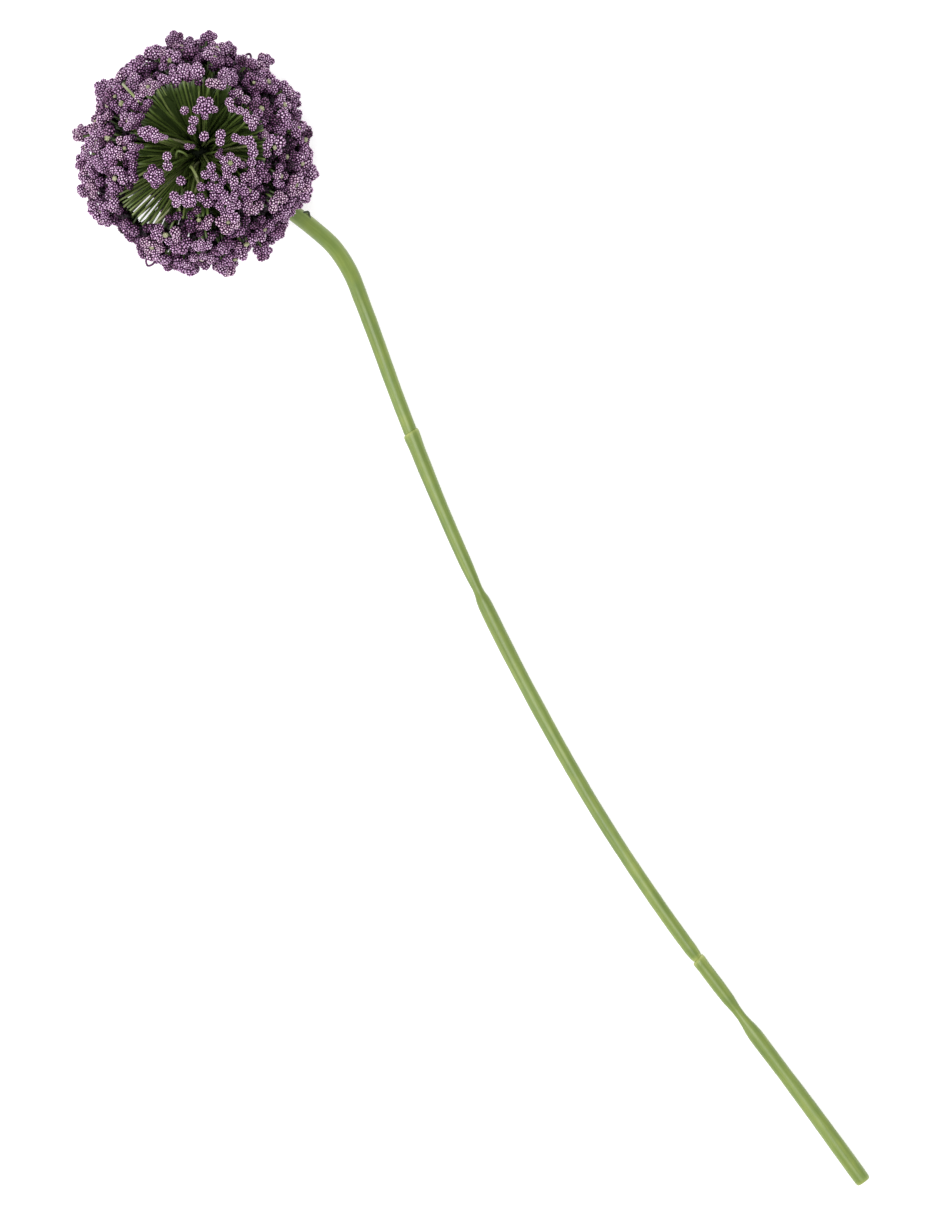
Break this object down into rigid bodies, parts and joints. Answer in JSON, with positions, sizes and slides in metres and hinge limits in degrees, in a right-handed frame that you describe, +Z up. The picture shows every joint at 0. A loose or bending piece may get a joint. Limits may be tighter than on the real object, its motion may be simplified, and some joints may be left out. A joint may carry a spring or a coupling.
{
  "type": "artificial allium flower head on a cut stem",
  "caption": "Artificial purple allium lying down: a round head of knobbly florets on green stalks round a hub, on a long curved plastic stem made of plugged sleeves over a wire.",
  "frame": {"origin": "middle of the flat base that the lying flower touches, halfway along it and across it", "axes": "+X from the flower head towards the cut end of the stem, +Y across it to the side that the stem's upper bend swings to, +Z up from the surface"},
  "size_m": [0.5888, 0.1051, 0.1027],
  "materials": {
    "floret_purple": "soft moulded granules, pink on their tips and dark plum between them",
    "stalk_green": "dark green moulded plastic with a faint sheen",
    "hub_green": "very dark green, matt",
    "sleeve_green": "satin yellow-green soft plastic with fine lengthwise streaks",
    "wire_steel": "plain drawn wire"
  },
  "bodies": {
    "root": {"stem_wire": "wire_steel", "upper_stem": "sleeve_green", "middle_stem": "sleeve_green", "lower_stem": "sleeve_green", "head_hub": "hub_green", "crown_stalks": "stalk_green", "spray_01_stalks": "stalk_green", "spray_01_florets": "floret_purple", "spray_02_stalks": "stalk_green", "spray_02_florets": "floret_purple", "spray_03_stalks": "stalk_green", "spray_03_florets": "floret_purple", "spray_04_stalks": "stalk_green", "spray_04_florets": "floret_purple", "spray_05_stalks": "stalk_green", "spray_05_florets": "floret_purple", "spray_06_stalks": "stalk_green", "spray_06_florets": "floret_purple", "spray_07_stalks": "stalk_green", "spray_07_florets": "floret_purple", "spray_08_stalks": "stalk_green", "spray_08_florets": "floret_purple", "spray_09_stalks": "stalk_green", "spray_09_florets": "floret_purple", "spray_10_stalks": "stalk_green", "spray_10_florets": "floret_purple", "spray_11_stalks": "stalk_green", "spray_11_florets": "floret_purple", "spray_12_stalks": "stalk_green", "spray_12_florets": "floret_purple", "spray_13_stalks": "stalk_green", "spray_13_florets": "floret_purple", "spray_14_stalks": "stalk_green", "spray_14_florets": "floret_purple", "spray_15_stalks": "stalk_green", "spray_15_florets": "floret_purple", "spray_16_stalks": "stalk_green", "spray_16_florets": "floret_purple", "spray_17_stalks": "stalk_green", "spray_17_florets": "floret_purple", "spray_18_stalks": "stalk_green", "spray_18_florets": "floret_purple", "crown_florets_01": "floret_purple", "crown_florets_02": "floret_purple", "crown_florets_03": "floret_purple", "crown_florets_04": "floret_purple", "crown_florets_05": "floret_purple", "crown_florets_06": "floret_purple", "crown_florets_07": "floret_purple", "crown_florets_08": "floret_purple", "crown_florets_09": "floret_purple", "crown_florets_10": "floret_purple", "crown_florets_11": "floret_purple", "crown_florets_12": "floret_purple", "crown_florets_13": "floret_purple", "crown_florets_14": "floret_purple", "crown_florets_15": "floret_purple", "crown_florets_16": "floret_purple"}
  },
  "joints": []
}
